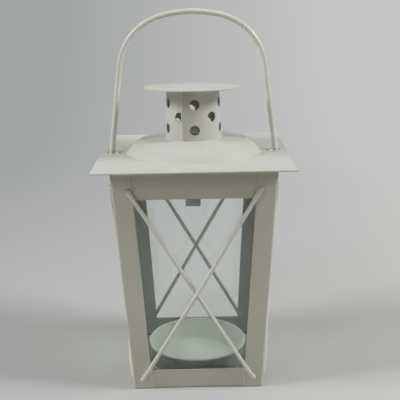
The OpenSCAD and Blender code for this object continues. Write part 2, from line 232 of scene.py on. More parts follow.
class LanternEdges(bpy.types.PropertyGroup):
    """Rounds and bevels on the edges of the pieces"""
    sheet: bpy.props.FloatProperty(
        name="Sheet edge", description="Round on the cut edges of the painted sheet",
        unit="LENGTH", default=0.00012, precision=6)
    pane: bpy.props.FloatProperty(
        name="Pane edge", description="Bevel ground on the edges of a pane",
        unit="LENGTH", default=0.00025, precision=6)
    wire_end: bpy.props.FloatProperty(
        name="Wire end", description="Round on the ends of a cross wire",
        unit="LENGTH", default=0.0004, precision=6)
    clip: bpy.props.FloatProperty(
        name="Clip edge", description="Round on the edges of a glass clip",
        unit="LENGTH", default=0.0001, precision=6)


class LanternWires(bpy.types.PropertyGroup):
    """Ends of the cross wires, pressed flat where they are welded to the posts"""
    press_length: bpy.props.FloatProperty(
        name="Pressed length", description="Length over which an end is pressed",
        unit="LENGTH", default=0.007, precision=5)
    top_width_share: bpy.props.FloatProperty(
        name="Top width", description="Width of an upper end against the wire", default=1.4)
    top_height_share: bpy.props.FloatProperty(
        name="Top height", description="Height of an upper end against the wire", default=0.75)
    foot_width_share: bpy.props.FloatProperty(
        name="Foot width", description="Width of a lower end against the wire", default=1.1)
    foot_height_share: bpy.props.FloatProperty(
        name="Foot height", description="Height of a lower end against the wire", default=0.65)


class LanternGlass(bpy.types.PropertyGroup):
    """Pale green window glass"""
    tint: bpy.props.FloatVectorProperty(
        name="Tint", description="Colour that a pane gives to what is behind it",
        subtype="COLOR", size=3, default=(0.955, 0.98, 0.968))
    edge_tint: bpy.props.FloatVectorProperty(
        name="Edge tint", description="Deeper colour of a pane's cut edge",
        subtype="COLOR", size=3, default=(0.50, 0.66, 0.59))
    lamp_tint: bpy.props.FloatVectorProperty(
        name="Lamp tint",
        description="Colour that each of a pane's two faces gives to the lamps' light",
        subtype="COLOR", size=3, default=(0.40, 0.475, 0.44))
    roughness: bpy.props.FloatProperty(
        name="Roughness", description="Roughness of the clean glass", min=0, max=1, default=0.005)
    smear_roughness: bpy.props.FloatProperty(
        name="Smear roughness", description="How much rougher the glass is where it is smeared",
        min=0, max=1, default=0.04)


class LanternSteel(bpy.types.PropertyGroup):
    """Dull steel of the glass clips, and tin on the outside of the cup, whose darkness is partly
    painted shade
    """
    pale: bpy.props.FloatVectorProperty(
        name="Pale steel", description="Colour of the clean steel",
        subtype="COLOR", size=3, default=(0.46, 0.46, 0.43))
    dark: bpy.props.FloatVectorProperty(
        name="Dark steel", description="Colour of the steel in its stains",
        subtype="COLOR", size=3, default=(0.33, 0.33, 0.31))
    metallic: bpy.props.FloatProperty(
        name="Metallic", description="How metallic the dull steel is", min=0, max=1, default=0.4)
    roughness: bpy.props.FloatProperty(
        name="Roughness", description="Least roughness of the steel", min=0, max=1, default=0.42)
    dull_roughness: bpy.props.FloatProperty(
        name="Dull roughness", description="Roughness of the steel in its dull patches",
        min=0, max=1, default=0.6)
    grain_depth: bpy.props.FloatProperty(
        name="Grain depth", description="Height of the steel's fine grain",
        unit="LENGTH", default=0.00001, precision=6)


class LanternWelds(bpy.types.PropertyGroup):
    """Painted welds and solder at the joints"""
    weld_length: bpy.props.FloatProperty(
        name="Weld length", description="Length of the weld under a wire's end",
        unit="LENGTH", default=0.0024, precision=5)
    weld_width: bpy.props.FloatProperty(
        name="Weld width", description="Width of the weld under a wire's end",
        unit="LENGTH", default=0.0023, precision=5)
    weld_height: bpy.props.FloatProperty(
        name="Weld height", description="Height of the weld on the post",
        unit="LENGTH", default=0.0004, precision=5)
    bead_radius: bpy.props.FloatProperty(
        name="Bead radius", description="Radius of the solder bead round the chimney's foot",
        unit="LENGTH", default=0.00028, precision=6)
    seam_radius: bpy.props.FloatProperty(
        name="Seam radius", description="Radius of the solder along the chimney's seam",
        unit="LENGTH", default=0.0004, precision=6)
    seam_turn: bpy.props.FloatProperty(
        name="Seam turn", description="Turn of the chimney's seam from the front, to the right",
        subtype="ANGLE", default=math.radians(-21))
    seam_gap: bpy.props.FloatProperty(
        name="Seam gap",
        description="Distance from the upper end of the seam's solder to the tube's top",
        unit="LENGTH", default=0.001, precision=5)
    bead_unevenness: bpy.props.FloatProperty(
        name="Bead unevenness", description="How far the solder wanders in and out",
        unit="LENGTH", default=0.00008, precision=6)


class LanternStage(bpy.types.PropertyGroup):
    """Floor, backdrop, lamps and camera"""
    # The backdrop and floor are darker on the left than on the right: painted shade for a room lit
    # more from the right
    backdrop_left: bpy.props.FloatVectorProperty(
        name="Backdrop on the left", description="Colour of the backdrop on the left",
        subtype="COLOR", size=3, default=(0.36, 0.375, 0.38))
    backdrop_right: bpy.props.FloatVectorProperty(
        name="Backdrop on the right", description="Colour of the backdrop on the right",
        subtype="COLOR", size=3, default=(0.555, 0.56, 0.545))
    floor_left: bpy.props.FloatVectorProperty(
        name="Floor on the left", description="Colour of the floor on the left",
        subtype="COLOR", size=3, default=(0.455, 0.46, 0.46))
    floor_right: bpy.props.FloatVectorProperty(
        name="Floor on the right", description="Colour of the floor on the right",
        subtype="COLOR", size=3, default=(0.58, 0.585, 0.575))
    floor_bounce: bpy.props.FloatVectorProperty(
        name="Floor bounce",
        description="Colour of the floor in the light that it throws on the lantern",
        subtype="COLOR", size=3, default=(0.38, 0.36, 0.315))
    floor_size: bpy.props.FloatProperty(
        name="Floor size", description="Width of the floor", unit="LENGTH", default=3.0)
    wall_distance: bpy.props.FloatProperty(
        name="Wall distance", description="Distance from the lantern back to the backdrop",
        unit="LENGTH", default=0.75)
    sweep_radius: bpy.props.FloatProperty(
        name="Sweep radius", description="Radius of the curve between the floor and the backdrop",
        unit="LENGTH", default=0.3)
    half_fade: bpy.props.FloatProperty(
        name="Half fade",
        description="Distance to either side of the middle over which the colours fade",
        unit="LENGTH", default=0.17)
    backdrop_from: bpy.props.FloatProperty(
        name="Backdrop from",
        description="Distance behind the lantern's middle where the floor starts to turn plain",
        unit="LENGTH", default=0.05)
    backdrop_to: bpy.props.FloatProperty(
        name="Backdrop to", description="Distance behind the lantern's middle where it is plain",
        unit="LENGTH", default=0.4)
    lamp_distance: bpy.props.FloatProperty(
        name="Lamp distance", description="Distance of the lamps", unit="LENGTH", default=1.6)
    lamp_size: bpy.props.FloatProperty(
        name="Lamp size", description="Width of the lamps", unit="LENGTH", default=0.5)
    lamp_turn: bpy.props.FloatProperty(
        name="Lamp turn", description="Turn of the side lamps from the front to either side",
        subtype="ANGLE", default=math.radians(79))
    front_turn: bpy.props.FloatProperty(
        name="Front lamp turn", description="Turn of the front lamp, to the right",
        subtype="ANGLE", default=math.radians(-38))
    lamp_height: bpy.props.FloatProperty(
        name="Lamp height", description="Height of the lamps, as an angle above the floor",
        subtype="ANGLE", default=math.radians(34))
    left_power: bpy.props.FloatProperty(
        name="Left power", description="Power of the left lamp in watts", default=12.9)
    right_power: bpy.props.FloatProperty(
        name="Right power", description="Power of the right lamp in watts", default=16.0)
    front_power: bpy.props.FloatProperty(
        name="Front power", description="Power of the front lamp in watts", default=3.1)
    wall_light: bpy.props.FloatVectorProperty(
        name="Wall light", description="Colour of the light from the room's walls",
        subtype="COLOR", size=3, default=(0.022, 0.019, 0.012))
    ceiling_light: bpy.props.FloatVectorProperty(
        name="Ceiling light", description="Colour of the light from straight above",
        subtype="COLOR", size=3, default=(0.40, 0.40, 0.392))
    camera_place: bpy.props.FloatVectorProperty(
        name="Camera place", description="Where the camera stands", subtype="TRANSLATION",
        unit="LENGTH", size=3, default=(0.000506, -0.318157, 0.165478), precision=6)
    camera_aim: bpy.props.FloatVectorProperty(
        name="Camera aim", description="The point that the camera looks at", subtype="TRANSLATION",
        unit="LENGTH", size=3, default=(0.002321, 0.0, 0.076372), precision=6)
    camera_roll: bpy.props.FloatProperty(
        name="Camera roll", description="Turn of the camera about its line of sight",
        subtype="ANGLE", default=math.radians(-1.022))
    lens: bpy.props.FloatProperty(
        name="Lens", description="Focal length in millimetres on a 36 mm sensor", default=67.6)


def settings(name):
    """The scene's settings of one group"""
    return getattr(bpy.context.scene, "lantern_" + name)


def deselect_all():
    """Leaves edit mode with nothing selected"""
    if bpy.context.mode != "OBJECT":
        bpy.ops.object.mode_set(mode="OBJECT")
    bpy.ops.object.select_all(action="DESELECT")


def work_on(piece):
    """Selects this piece and no other, and makes it the active one"""
    deselect_all()
    piece.select_set(True)
    bpy.context.view_layer.objects.active = piece


def select_edges(piece, chosen):
    """Selects the edges whose two ends pass the test, and no others"""
    work_on(piece)
    bpy.ops.object.mode_set(mode="EDIT")
    bpy.ops.mesh.select_mode(type="EDGE")
    bpy.ops.mesh.select_all(action="DESELECT")
    bpy.ops.object.mode_set(mode="OBJECT")
    for edge in piece.data.edges:
        edge.select = chosen(*(piece.data.vertices[i].co for i in edge.vertices))


def apply_modifier(piece, kind, **values):
    """Adds a modifier with these values and applies it"""
    work_on(piece)
    bpy.ops.object.modifier_add(type=kind)
    modifier = piece.modifiers[-1]
    for key, value in values.items():
        setattr(modifier, key, value)
    bpy.ops.object.modifier_apply(modifier=modifier.name)


def smooth(piece, degrees):
    """Shades a piece smooth, apart from its edges sharper than the angle"""
    work_on(piece)
    bpy.ops.object.shade_smooth_by_angle(angle=math.radians(degrees))


def round_edges(piece, width, segments=2, degrees=40):
    """Bevels the edges sharper than the angle, and smooths the rest"""
    apply_modifier(
        piece, "BEVEL", width=width, segments=segments, limit_method="ANGLE",
        angle_limit=math.radians(degrees), miter_outer="MITER_ARC", harden_normals=False)
    smooth(piece, degrees)
    apply_modifier(piece, "WEIGHTED_NORMAL", keep_sharp=True)


def body_of(node):
    """The name of the body that a CAD node moves with"""
    return frame["nodes"][node]["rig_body"]


def merged_copy(node):
    """A copy of a CAD node's mesh as one connected skin, which takes the node's place"""
    mesh = frame["nodes"][node].data.copy()
    piece = bpy.data.objects.new(node + "_finished", mesh)
    bpy.context.scene.collection.objects.link(piece)
    work_on(piece)
    bpy.ops.mesh.customdata_custom_splitnormals_clear()
    bpy.ops.object.mode_set(mode="EDIT")
    bpy.ops.mesh.select_all(action="SELECT")
    bpy.ops.mesh.remove_doubles(threshold=MERGE_DISTANCE)
    bpy.ops.mesh.dissolve_limited(angle_limit=FLAT_ANGLE)
    bpy.ops.object.mode_set(mode="OBJECT")
    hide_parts(node)
    return piece


def give(piece, body, slot, *materials):
    """Puts the finish on a piece and fixes it to its body"""
    piece.data.materials.clear()
    for material in materials:
        piece.data.materials.append(material)
    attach(piece, body)


def give_second_material(piece, chosen):
    """Turns the polygons that pass the test to the piece's second material"""
    for polygon in piece.data.polygons:
        polygon.material_index = 1 if chosen(polygon) else 0


def paint_node(node, material):
    """Puts a finish on a CAD node that keeps its own mesh"""
    for slot in frame["nodes"][node].material_slots:
        slot.material = material


def turned_out(polygon):
    """1 where a polygon looks away from the lantern's axis, -1 where it looks towards it"""
    return polygon.center.xy.normalized().dot(polygon.normal.xy)


def outward(face):
    """The direction in which one of the four sides looks"""
    return Matrix.Rotation(math.radians(FACE_TURN[face]), 3, "Z") @ Vector((0, -1, 0))


def nodes_of(material):
    """The material's node tree, its shader and its output"""
    material.use_nodes = True
    tree = material.node_tree
    return tree, tree.nodes["Principled BSDF"], tree.nodes["Material Output"]


def object_place(tree):
    """Object coordinates, which are the lantern's own metres"""
    return tree.nodes.new("ShaderNodeTexCoord").outputs["Object"]


def axis_of(tree, coordinates, axis):
    """One of the three coordinates"""
    node = tree.nodes.new("ShaderNodeSeparateXYZ")
    tree.links.new(coordinates, node.inputs[0])
    return node.outputs[axis]


def noise(tree, pattern, place):
    """The grey values of one of the patterns"""
    node = tree.nodes.new("ShaderNodeTexNoise")
    node.inputs["Scale"].default_value = PATTERNS[pattern].scale
    node.inputs["Detail"].default_value = PATTERNS[pattern].detail
    tree.links.new(place, node.inputs["Vector"])
    return node.outputs["Fac"]


def remap(tree, value, low, high, to_low, to_high):
    """Turns low to to_low and high to to_high, and goes past neither"""
    node = tree.nodes.new("ShaderNodeMapRange")
    node.clamp = True
    ends = {"From Min": low, "From Max": high, "To Min": to_low, "To Max": to_high}
    for name, number in ends.items():
        node.inputs[name].default_value = number
    tree.links.new(value, node.inputs["Value"])
    return node.outputs["Result"]


def patches(tree, pattern, place, between, within):
    """One value between the pattern's patches, and another within them"""
    low, high = PATTERNS[pattern].low, PATTERNS[pattern].high
    return remap(tree, noise(tree, pattern, place), low, high, between, within)


def combine(tree, operation, first, second):
    """The outcome of an operation on two values"""
    node = tree.nodes.new("ShaderNodeMath")
    node.operation = operation
    tree.links.new(first, node.inputs[0])
    tree.links.new(second, node.inputs[1])
    return node.outputs[0]


def blend_colours(tree, share, colour_a, colour_b):
    """Colour a where the share is 0 and colour b where it is 1, each a socket or a colour"""
    node = tree.nodes.new("ShaderNodeMix")
    node.data_type = "RGBA"
    for socket, colour in ((node.inputs[6], colour_a), (node.inputs[7], colour_b)):
        if isinstance(colour, bpy.types.NodeSocket):
            tree.links.new(colour, socket)
        else:
            socket.default_value = (*colour, 1)
    tree.links.new(share, node.inputs[0])
    return node.outputs[2]


def mix_shaders(tree, share, first, second, output):
    """Sends the first shader to the output where the share is 0, and the second where it is 1"""
    node = tree.nodes.new("ShaderNodeMixShader")
    for source, socket in zip((share, first.outputs[0], second.outputs[0]), node.inputs):
        tree.links.new(source, socket)
    tree.links.new(node.outputs[0], output.inputs["Surface"])


def bump(tree, height, depth, normal=None):
    """A normal for relief of this depth in metres, on top of another one"""
    node = tree.nodes.new("ShaderNodeBump")
    node.inputs["Distance"].default_value = depth
    node.inputs["Strength"].default_value = 1
    tree.links.new(height, node.inputs["Height"])
    if normal is not None:
        tree.links.new(normal, node.inputs["Normal"])
    return node.outputs["Normal"]


def rounded_normal(tree, radius):
    """A normal that turns smoothly over an edge"""
    node = tree.nodes.new("ShaderNodeBevel")
    node.inputs["Radius"].default_value = radius
    return node.outputs["Normal"]


def edge_share(tree, width):
    """1 at an edge and 0 on the flat, by how far a rounded normal leans from the surface's own"""
    node = tree.nodes.new("ShaderNodeVectorMath")
    node.operation = "DOT_PRODUCT"
    tree.links.new(rounded_normal(tree, width), node.inputs[0])
    tree.links.new(tree.nodes.new("ShaderNodeNewGeometry").outputs["Normal"], node.inputs[1])
    return remap(tree, node.outputs["Value"], WEAR_START, WEAR_FULL, 0, 1)


def painted_foot_shade(tree, place):
    """Share of the painted contact shadow, which is patchy at the floor and gone above its height
    """
    height = axis_of(tree, place, "Z")
    foot = remap(tree, height, 0, settings("paint").foot_shade_height, FOOT_SHADE_AT_FLOOR, 0)
    return combine(
        tree, "MULTIPLY", foot, patches(tree, "grime", place, FOOT_SHADE_BETWEEN, FOOT_SHADE_WITHIN))


def painted_seam_shade(tree, place, seam_x):
    """Share of the painted shade, which starts at the chimney's seam and fades to the right, in
    front
    """
    paint = settings("paint")
    across = axis_of(tree, place, "X")
    fading = remap(tree, across, seam_x, seam_x + paint.seam_shade_width, paint.seam_shade_share, 0)
    beside = remap(tree, across, seam_x, seam_x + paint.edge_width, 0, 1)
    front = remap(tree, axis_of(tree, place, "Y"), 0, -paint.edge_width, 0, 1)
    return combine(tree, "MULTIPLY", combine(tree, "MULTIPLY", fading, beside), front)


def chipped_edges(tree, place):
    """Share of bare metal where sharp edges are chipped"""
    paint = settings("paint")
    chips = patches(tree, "chips", place, 0, paint.chipped_share)
    return combine(tree, "MULTIPLY", edge_share(tree, paint.edge_width), chips)


def rubbed_end(tree, place, worn_from):
    """Share of bare metal, which grows in patches above the height worn_from"""
    worn_to = worn_from + settings("paint").worn_length
    ramp = remap(tree, axis_of(tree, place, "Z"), worn_from, worn_to, 0, 1)
    return combine(
        tree, "MULTIPLY", ramp, patches(tree, "rubbed", place, RUBBED_BETWEEN, 1))


def paint_material(name, colour, roughness, sharp=True, worn_from=None, stained_from=None):
    """Sprayed cream paint, aged in patches, with a painted contact shadow along the foot

    It is chipped at the edges of a sharp piece, rubbed to the metal above the height worn_from,
    and darkened by painted shade to the right of the chimney's seam, when its place is given.
    """
    paint = settings("paint")
    material = bpy.data.materials.new(name)
    tree, shader, _ = nodes_of(material)
    place = object_place(tree)
    aged = patches(tree, "aged", place, 0, paint.aged_share)
    tone = blend_colours(tree, aged, colour, paint.aged_cream)
    specks = patches(tree, "specks", place, 0, paint.speck_share)
    tone = blend_colours(tree, specks, tone, paint.aged_cream)
    # Painted contact shadow along the foot
    tone = blend_colours(tree, painted_foot_shade(tree, place), tone, paint.grime)
    # Painted shade beside the chimney's seam
    if stained_from is not None:
        tone = blend_colours(tree, painted_seam_shade(tree, place, stained_from), tone, paint.stain)
    bare = chipped_edges(tree, place) if sharp else None
    if worn_from is not None:
        bare = rubbed_end(tree, place, worn_from)
    if bare is not None:
        tone = blend_colours(tree, bare, tone, paint.bare_metal)
        metallic = remap(tree, bare, 0, 1, 0, paint.bare_metallic)
        tree.links.new(metallic, shader.inputs["Metallic"])
    tree.links.new(tone, shader.inputs["Base Color"])
    gloss = patches(tree, "gloss", place, roughness - GLOSSIER, roughness + DULLER)
    tree.links.new(gloss, shader.inputs["Roughness"])
    softened = rounded_normal(tree, paint.edge_round) if sharp else None
    relief = bump(tree, noise(tree, "ripples", place), paint.ripple_depth, softened)
    if sharp:
        relief = bump(tree, noise(tree, "orange_peel", place), paint.peel_depth, relief)
    tree.links.new(relief, shader.inputs["Normal"])
    return material


def glass_material(name, colour):
    """Clear glass that lets the lamps through to what stands behind it"""
    glass = settings("glass")
    material = bpy.data.materials.new(name)
    tree, shader, output = nodes_of(material)
    shader.inputs["Base Color"].default_value = (*colour, 1)
    shader.inputs["Transmission Weight"].default_value = 1
    shader.inputs["IOR"].default_value = 1.5
    smears = patches(
        tree, "smears", object_place(tree),
        glass.roughness, glass.roughness + glass.smear_roughness)
    tree.links.new(smears, shader.inputs["Roughness"])
    clear = tree.nodes.new("ShaderNodeBsdfTransparent")
    clear.inputs["Color"].default_value = (*glass.lamp_tint, 1)
    shadow = tree.nodes.new("ShaderNodeLightPath").outputs["Is Shadow Ray"]
    mix_shaders(tree, shadow, shader, clear, output)
    return material


def steel_material(name):
    """Dull steel or tin plate, stained in patches"""
    steel = settings("steel")
    material = bpy.data.materials.new(name)
    tree, shader, _ = nodes_of(material)
    place = object_place(tree)
    stains = patches(tree, "steel_stains", place, 0, 1)
    tree.links.new(
        blend_colours(tree, stains, steel.pale, steel.dark), shader.inputs["Base Color"])
    shader.inputs["Metallic"].default_value = steel.metallic
    gloss = patches(tree, "steel_gloss", place, steel.roughness, steel.dull_roughness)
    tree.links.new(gloss, shader.inputs["Roughness"])
    grain = bump(tree, noise(tree, "steel_grain", place), steel.grain_depth)
    tree.links.new(grain, shader.inputs["Normal"])
    return material


def finish(name, make, *details, **wear):
    """The material of that name, made the first time that it is asked for"""
    return bpy.data.materials.get(name) or make(name, *details, **wear)


def satin_paint(name, colour, **wear):
    """Paint on sheet metal, in one of the colours of the paint's settings"""
    paint = settings("paint")
    return finish(name, paint_material, getattr(paint, colour), paint.roughness, **wear)


def glossy_paint(name, **wear):
    """Paint on wire and solder, which have no sharp edges to chip"""
    paint = settings("paint")
    return finish(
        name, paint_material, paint.wire_cream, paint.wire_roughness, sharp=False, **wear)


# The body's warmer, darker cream, which is partly painted shade
def body_paint():
    return satin_paint("cream_body_paint", "cream")


# Paint for the inward faces, lighter than the outside: painted light inside the body
def inner_painted_light():
    return satin_paint("inner_paint_with_painted_light", "inner_cream")


def roof_paint():
    return satin_paint("light_cream_paint", "light_cream")


def chimney_paint():
    """The roof's paint, with painted shade beside the seam"""
    tube_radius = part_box("chimney_tube")[1].x
    seam_x = tube_radius * math.sin(settings("welds").seam_turn)
    return satin_paint("chimney_cream_paint", "light_cream", stained_from=seam_x)


def wire_paint():
    """The wires' paint, rubbed thin at their upper ends"""
    wire_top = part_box("cross_wire_front_under")[1].z
    return glossy_paint(
        "worn_wire_paint", worn_from=wire_top - settings("paint").worn_length)


class LANTERN_OT_body_sheets(bpy.types.Operator):
    """Round the cut edges of the posts, rails and base, and paint them"""
    bl_idname = "lantern.body_sheets"
    bl_label = "Body sheets"

    def execute(self, context):
        names = ["corner_post_" + corner for corner in CORNERS]
        names += [rail + face for rail in ("top_rail_", "bottom_rail_") for face in FACES]
        for node in names + ["base_plate"]:
            piece = merged_copy(node)
            round_edges(piece, settings("edges").sheet)
            give(piece, body_of(node), "body_paint", body_paint(), inner_painted_light())
            # The inward faces take the inner paint, whose lighter colour is painted light
            give_second_material(piece, lambda polygon: turned_out(polygon) < -SIDE_FACE)
        return {"FINISHED"}


class LANTERN_OT_candle_cup(bpy.types.Operator):
    """Paint the candle cup inside and over its rim, and leave the rest of its outside bare tin,
    whose darkness is partly painted shade
    """
    bl_idname = "lantern.candle_cup"
    bl_label = "Candle cup"

    def execute(self, context):
        cup = merged_copy("candle_cup")
        smooth(cup, degrees=30)
        # The dark tin outside is partly painted shade, for the shaded gap below the rim
        tin = finish("tin_plate_with_painted_shade", steel_material)
        give(cup, body_of("candle_cup"), "cup_paint", roof_paint(), tin)
        bead_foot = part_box("candle_cup")[1].z - settings("paint").bead_height
        give_second_material(
            cup,
            lambda polygon: turned_out(polygon) > SIDE_FACE and polygon.center.z < bead_foot)
        return {"FINISHED"}


class LANTERN_OT_panes(bpy.types.Operator):
    """Grind the panes' edges and glaze the four windows"""
    bl_idname = "lantern.panes"
    bl_label = "Glass panes"

    def execute(self, context):
        glass = settings("glass")
        face_glass = finish("pale_green_glass", glass_material, glass.tint)
        edge_glass = finish("green_glass_edge", glass_material, glass.edge_tint)
        for face in FACES:
            node = "glass_pane_" + face
            out = outward(face)
            piece = merged_copy(node)
            round_edges(piece, settings("edges").pane)
            give(piece, body_of(node), "pane_glass", face_glass, edge_glass)
            give_second_material(
                piece, lambda polygon: abs(polygon.normal.dot(out)) <= PANE_FACE)
        return {"FINISHED"}


class LANTERN_OT_clips(bpy.types.Operator):
    """Round the edges of the glass clips and give them dull steel"""
    bl_idname = "lantern.clips"
    bl_label = "Glass clips"

    def execute(self, context):
        for face in FACES:
            node = "glass_clip_" + face
            piece = merged_copy(node)
            round_edges(piece, settings("edges").clip)
            give(piece, body_of(node), "clip_metal", finish("dull_clip_steel", steel_material))
        return {"FINISHED"}


class LANTERN_OT_cross_wires(bpy.types.Operator):
    """Press the ends of the cross wires flat, round them and paint them, rubbed thin at the top"""
    bl_idname = "lantern.cross_wires"
    bl_label = "Cross wires"

    def execute(self, context):
        wires = settings("wires")
        for face, _, node in cross_wires():
            piece = merged_copy(node)
            stand, length = wire_stand(node, face)
            piece.data.transform(stand.inverted())
            press_end(piece, length, -1, wires.top_width_share, wires.top_height_share)
            press_end(piece, 0, 1, wires.foot_width_share, wires.foot_height_share)
            piece.data.transform(stand)
            round_edges(piece, settings("edges").wire_end, segments=3, degrees=50)
            give(piece, body_of(node), "wire_paint", wire_paint())
        return {"FINISHED"}


def cross_wires():
    """Each cross wire's side, whether it runs under or over the other, and its node's name"""
    for face in FACES:
        for order in ("under", "over"):
            yield face, order, f"cross_wire_{face}_{order}"


def wire_stand(node, face):
    """A frame at a cross wire's foot with Z up the wire and Y away from the post, and its length"""
    corners = sorted((v.co for v in frame["nodes"][node].data.vertices), key=lambda co: co.z)
    reach = settings("wires").press_length / 2
    foot, top = (
        sum(near, Vector()) / len(near)
        for near in (
            [co for co in corners if (co - tip).length < reach]
            for tip in (corners[0], corners[-1])))
    along = (top - foot).normalized()
    across = outward(face).cross(along).normalized()
    away = along.cross(across)
    stand = Matrix((across, away, along)).transposed().to_4x4()
    return Matrix.Translation(foot) @ stand, (top - foot).length


def press_end(piece, end_z, inward, width_share, height_share):
    """Narrows or widens a standing wire's end, and flattens it against the post"""
    length = settings("wires").press_length
    tip_length = length / 4
    radius = max(v.co.x for v in piece.data.vertices)
    work_on(piece)
    bpy.ops.object.mode_set(mode="EDIT")
    bpy.ops.mesh.select_mode(type="VERT")
    bpy.ops.mesh.select_all(action="SELECT")
    bpy.ops.mesh.bisect(plane_co=(0, 0, end_z + inward * length), plane_no=(0, 0, 1))
    bpy.ops.mesh.select_all(action="DESELECT")
    bpy.ops.object.mode_set(mode="OBJECT")
    for vertex in piece.data.vertices:
        vertex.select = (vertex.co.z - end_z) * inward < tip_length
    bpy.ops.object.mode_set(mode="EDIT")
    bpy.ops.transform.resize(
        value=(width_share, height_share, 1), center_override=(0, -radius, end_z))
    bpy.ops.object.mode_set(mode="OBJECT")


class LANTERN_OT_wire_welds(bpy.types.Operator):
    """Set a low painted weld under each end of the cross wires"""
    bl_idname = "lantern.wire_welds"
    bl_label = "Wire welds"

    def execute(self, context):
        welds = settings("welds")
        half_length = welds.weld_length / 2
        size = Matrix.Diagonal((welds.weld_width / 2, welds.weld_height, half_length, 1))
        for face, order, node in cross_wires():
            stand, length = wire_stand(node, face)
            flat = stand.inverted()
            radius = max((flat @ v.co).x for v in frame["nodes"][node].data.vertices)
            for place, middle_z in (("top", length - half_length), ("foot", half_length)):
                weld = weld_mound(f"weld_{face}_{order}_{place}")
                middle = Matrix.Translation((0, -radius, middle_z))
                weld.data.transform(stand @ middle @ size)
                weld.data.update()
                give(weld, "body", "body_paint", body_paint())
        return {"FINISHED"}


def weld_mound(name):
    """A mound of unit size: half a ball that stands on a flat foot, with its top towards Y"""
    deselect_all()
    bpy.ops.mesh.primitive_uv_sphere_add(segments=32, ring_count=16, radius=1)
    mound = bpy.context.active_object
    mound.name = name
    bpy.ops.object.mode_set(mode="EDIT")
    bpy.ops.mesh.select_all(action="SELECT")
    bpy.ops.mesh.bisect(
        plane_co=(0, 0, 0), plane_no=(0, 1, 0), use_fill=True, clear_inner=True,
        clear_outer=False)
    smooth(mound, degrees=40)
    return mound


class LANTERN_OT_roof(bpy.types.Operator):
    """Paint the roof plate"""
    bl_idname = "lantern.roof"
    bl_label = "Roof"

    def execute(self, context):
        paint_node("roof_plate", roof_paint())
        return {"FINISHED"}


class LANTERN_OT_chimney(bpy.types.Operator):
    """Paint the chimney and its cap"""
    bl_idname = "lantern.chimney"
    bl_label = "Chimney and cap"

    def execute(self, context):
        paint_node("chimney_tube", chimney_paint())
        paint_node("chimney_cap", roof_paint())
        return {"FINISHED"}


class LANTERN_OT_chimney_solder(bpy.types.Operator):
    """Run an uneven bead of solder round the chimney's foot and along its seam"""
    bl_idname = "lantern.chimney_solder"
    bl_label = "Chimney solder"

    def execute(self, context):
        for bead in (foot_bead(), seam_bead()):
            work_on(bead)
            bpy.ops.object.mode_set(mode="EDIT")
            bpy.ops.mesh.select_all(action="SELECT")
            bpy.ops.transform.vertex_random(
                offset=settings("welds").bead_unevenness, uniform=0.2, normal=0.8, seed=7)
            bpy.ops.mesh.vertices_smooth(factor=0.5, repeat=3)
            smooth(bead, degrees=60)
            give(bead, "lid", "chimney_paint", glossy_paint("solder_cream_paint"))
        return {"FINISHED"}


def foot_bead():
    """A thin round bead that runs round the chimney's foot"""
    low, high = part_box("chimney_tube")
    deselect_all()
    bpy.ops.mesh.primitive_torus_add(
        major_radius=high.x, minor_radius=settings("welds").bead_radius,
        major_segments=RING_SIDES, minor_segments=RING_BEAD_SIDES, location=(0, 0, low.z))
    bead = bpy.context.active_object
    bead.name = "chimney_foot_solder"
    bpy.ops.object.transform_apply(location=True, rotation=True, scale=True)
    return bead


def seam_bead():
    """A thin round bead that fills the corner under the edge of the chimney's lap"""
    welds = settings("welds")
    low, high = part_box("chimney_tube")
    corners = [v.co for v in frame["nodes"]["chimney_tube"].data.vertices]
    nearby = welds.seam_gap * 1.5
    ends = []
    for z in (low.z, high.z - welds.seam_gap):
        near = [math.hypot(co.x, co.y) for co in corners if abs(co.z - z) < nearby]
        reach = max(near) - welds.seam_radius / 2
        turn = welds.seam_turn - welds.seam_radius / reach
        ends.append(Vector((reach * math.sin(turn), -reach * math.cos(turn), z)))
    deselect_all()
    bpy.ops.mesh.primitive_cylinder_add(
        vertices=SEAM_BEAD_SIDES, radius=welds.seam_radius, depth=(ends[1] - ends[0]).length)
    bead = bpy.context.active_object
    bead.name = "chimney_seam_solder"
    select_edges(bead, lambda first, second: abs(first.z - second.z) > welds.seam_gap)
    bpy.ops.object.mode_set(mode="EDIT")
    bpy.ops.mesh.subdivide(number_cuts=SEAM_CUTS)
    bpy.ops.object.mode_set(mode="OBJECT")
    lean = (ends[1] - ends[0]).to_track_quat("Z", "Y").to_matrix().to_4x4()
    bead.data.transform(Matrix.Translation((ends[0] + ends[1]) / 2) @ lean)
    return bead


class LANTERN_OT_bail(bpy.types.Operator):
    """Smooth the bail and paint it"""
    bl_idname = "lantern.bail"
    bl_label = "Bail"

    def execute(self, context):
        bail = merged_copy("bail_handle")
        smooth(bail, degrees=50)
        # Keeps the wire's facets out of the edge of its own shadow
        bail.cycles.shadow_terminator_offset = 0.3
        bail.cycles.shadow_terminator_geometry_offset = 0.5
        give(bail, body_of("bail_handle"), "wire_paint", glossy_paint("bail_cream_paint"))
        return {"FINISHED"}


class LANTERN_OT_stage(bpy.types.Operator):
    """Lay the floor and backdrop, hang the lamps and set up the camera"""
    bl_idname = "lantern.stage"
    bl_label = "Stage"

    def execute(self, context):
        lay_floor()
        hang_lamps()
        light_room()
        set_camera()
        context.scene.view_settings.view_transform = "Standard"
        return {"FINISHED"}


